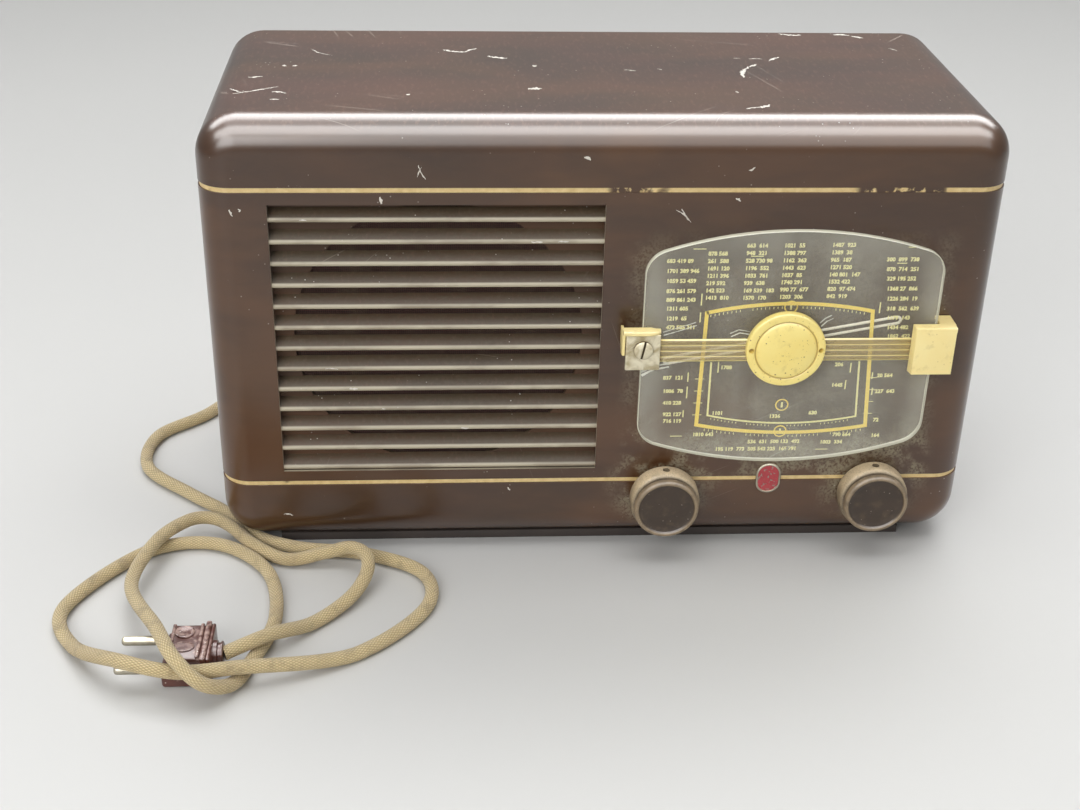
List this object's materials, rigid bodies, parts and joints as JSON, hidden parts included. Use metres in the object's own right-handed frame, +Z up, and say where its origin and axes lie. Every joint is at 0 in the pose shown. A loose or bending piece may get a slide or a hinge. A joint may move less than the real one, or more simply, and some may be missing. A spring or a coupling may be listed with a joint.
{
  "type": "tube radio",
  "caption": "Table-top valve radio: moulded case, louvred loudspeaker grille, glass tuning dial with a pointer, front knobs, rear sockets and a braided mains lead with a plug.",
  "frame": {"origin": "middle of the set's footprint on the table, mains lead left out", "axes": "+Z up; +X to the right seen from the front; the front looks along -Y"},
  "size_m": [0.4059, 0.2873, 0.205],
  "materials": {
    "case_moulding": "brown marbled moulding, glossy",
    "plinth_moulding": "dark brown, matt",
    "fibreboard": "pressed board, brown",
    "baffle_wood": "plain plywood",
    "speaker_cloth": "dark red-brown weave",
    "badge_enamel": "plain enamel with a pale rim",
    "dial_glass": "clear glass with printed plain numbers",
    "strap_plastic": "clear strip, yellowed",
    "cream_plastic": "cream moulding, yellowed",
    "plated_steel": "plated, dull",
    "fastener_steel": "plain steel, tarnished",
    "pointer_paint": "cream painted wire",
    "shaft_steel": "turned steel",
    "aluminium_sheet": "plain sheet",
    "drum_metal": "cast, unpolished",
    "drive_string": "waxed cord",
    "brass_plain": "plain brass",
    "knob_moulding": "brown moulding, worn",
    "control_can": "plated can",
    "switch_moulding": "dark moulding",
    "chassis_steel": "plated sheet steel, dulled",
    "speaker_steel": "painted pressing",
    "magnet_iron": "dark iron",
    "cone_paper": "dark paper",
    "dropper_ceramic": "brown ceramic tube",
    "valve_glass": "clear glass, partly silvered",
    "laminate": "brown laminated sheet",
    "coil_winding": "waxed winding",
    "grommet_rubber": "black rubber",
    "lead_braid": "cream and brown braid",
    "plug_moulding": "red-brown moulding",
    "pin_metal": "plated brass"
  },
  "bodies": {
    "set": {"cabinet": "case_moulding", "base_plinth": "plinth_moulding", "rear_cover": "fibreboard", "rear_cover_screws": "fastener_steel", "grille_cloth": "speaker_cloth", "baffle_board": "baffle_wood", "badge": "badge_enamel", "dial_glass": "dial_glass", "dial_strap": "strap_plastic", "dial_cap": "cream_plastic", "left_clip": "plated_steel", "right_clip": "plated_steel", "clip_screws": "plated_steel", "broken_clip_cover": "cream_plastic", "clip_cover": "cream_plastic", "drive_cord": "drive_string", "capacitor_frame": "plated_steel", "stator_plates": "aluminium_sheet", "capacitor_bracket": "plated_steel", "spindle_bush": "brass_plain", "volume_control": "control_can", "mains_switch": "switch_moulding", "chassis": "chassis_steel", "chassis_bolts": "fastener_steel", "speaker_frame": "speaker_steel", "speaker_magnet": "magnet_iron", "speaker_cone": "cone_paper", "speaker_fixings": "fastener_steel", "output_transformer": "magnet_iron", "smoothing_capacitor": "aluminium_sheet", "dropper_resistor": "dropper_ceramic", "mixer_valve": "valve_glass", "amplifier_valve": "valve_glass", "output_valve": "valve_glass", "rectifier_valve": "valve_glass", "valve_bases": "switch_moulding", "valve_sockets": "laminate", "if_cans": "aluminium_sheet", "aerial_coil": "coil_winding", "band_switch": "laminate", "tag_strip": "laminate", "socket_panel": "laminate", "socket_sleeves": "brass_plain", "mains_grommet": "grommet_rubber", "mains_cord": "lead_braid", "plug_body": "plug_moulding", "plug_pins": "pin_metal", "plug_screw": "fastener_steel"},
    "tuning_control": {"tuning_spindle": "shaft_steel", "tuning_knob": "knob_moulding", "tuning_grub_screw": "fastener_steel"},
    "dial_drive": {"rotor_shaft": "shaft_steel", "rotor_plates": "aluminium_sheet", "drive_drum": "drum_metal", "pointer": "pointer_paint"},
    "volume_spindle": {"volume_shaft": "shaft_steel", "volume_knob": "knob_moulding", "volume_grub_screw": "fastener_steel"},
    "wave_switch": {"band_shaft": "shaft_steel", "band_knob": "knob_moulding"}
  },
  "joints": [
    {"name": "dial_turn", "type": "hinge", "parent": "set", "child": "dial_drive", "pos_m": [0.078, -0.05, 0.1075], "axis": [0, 1, 0], "range_deg": [-170, 10]},
    {"name": "tuning_turn", "type": "hinge", "parent": "set", "child": "tuning_control", "pos_m": [0.1265, -0.07, 0.0294], "axis": [0, 1, 0], "range_deg": [-1360, 80]},
    {"name": "volume_turn", "type": "hinge", "parent": "set", "child": "volume_spindle", "pos_m": [0.0305, -0.07, 0.0294], "axis": [0, 1, 0], "range_deg": [0, 300]},
    {"name": "wave_turn", "type": "hinge", "parent": "set", "child": "wave_switch", "pos_m": [0.1, 0.07, 0.0294], "axis": [0, 1, 0], "range_deg": [-30, 30]}
  ],
  "couplings": [
    {"joint": "tuning_turn", "follows": "dial_turn", "ratio": 8}
  ]
}
